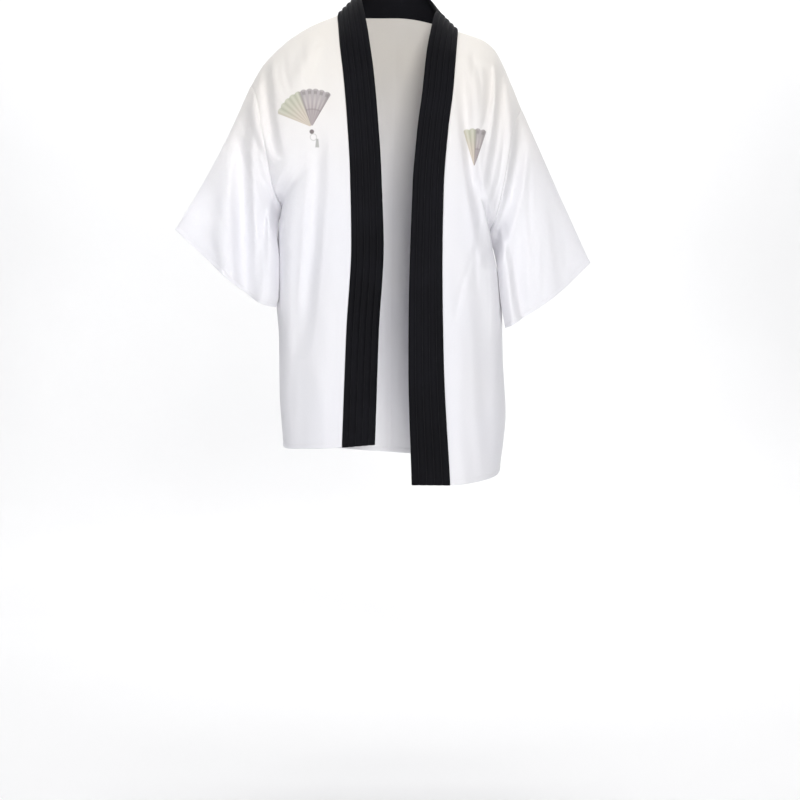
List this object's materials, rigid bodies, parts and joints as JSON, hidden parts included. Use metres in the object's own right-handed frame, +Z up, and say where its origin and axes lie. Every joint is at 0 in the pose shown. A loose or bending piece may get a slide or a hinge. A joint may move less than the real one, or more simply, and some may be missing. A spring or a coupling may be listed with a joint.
{
  "type": "haori jacket",
  "caption": "Open-fronted haori jacket in white cloth, hanging as worn, with wide short sleeves, a ribbed black collar band down to the hem and a folding-fan print on each side of the chest.",
  "frame": {"origin": "the middle of the neck opening, at the mean height where the collar's seam crosses the two shoulder seams, where a wearer's neck and shoulders hold the jacket", "axes": "+Z up; the wearer would face -Y, so the fronts are at -Y and the back at +Y; +X is the wearer's left"},
  "size_m": [0.8142, 0.2624, 0.9574],
  "materials": {
    "white_cloth": "matt plain weave with a soft sheen, printed on the chest",
    "black_cloth": "matt, stitched into lengthwise channels"
  },
  "bodies": {
    "root": {"front_right": "white_cloth", "front_left": "white_cloth", "back": "white_cloth", "sleeve_right": "white_cloth", "sleeve_left": "white_cloth", "collar": "black_cloth"}
  },
  "joints": []
}
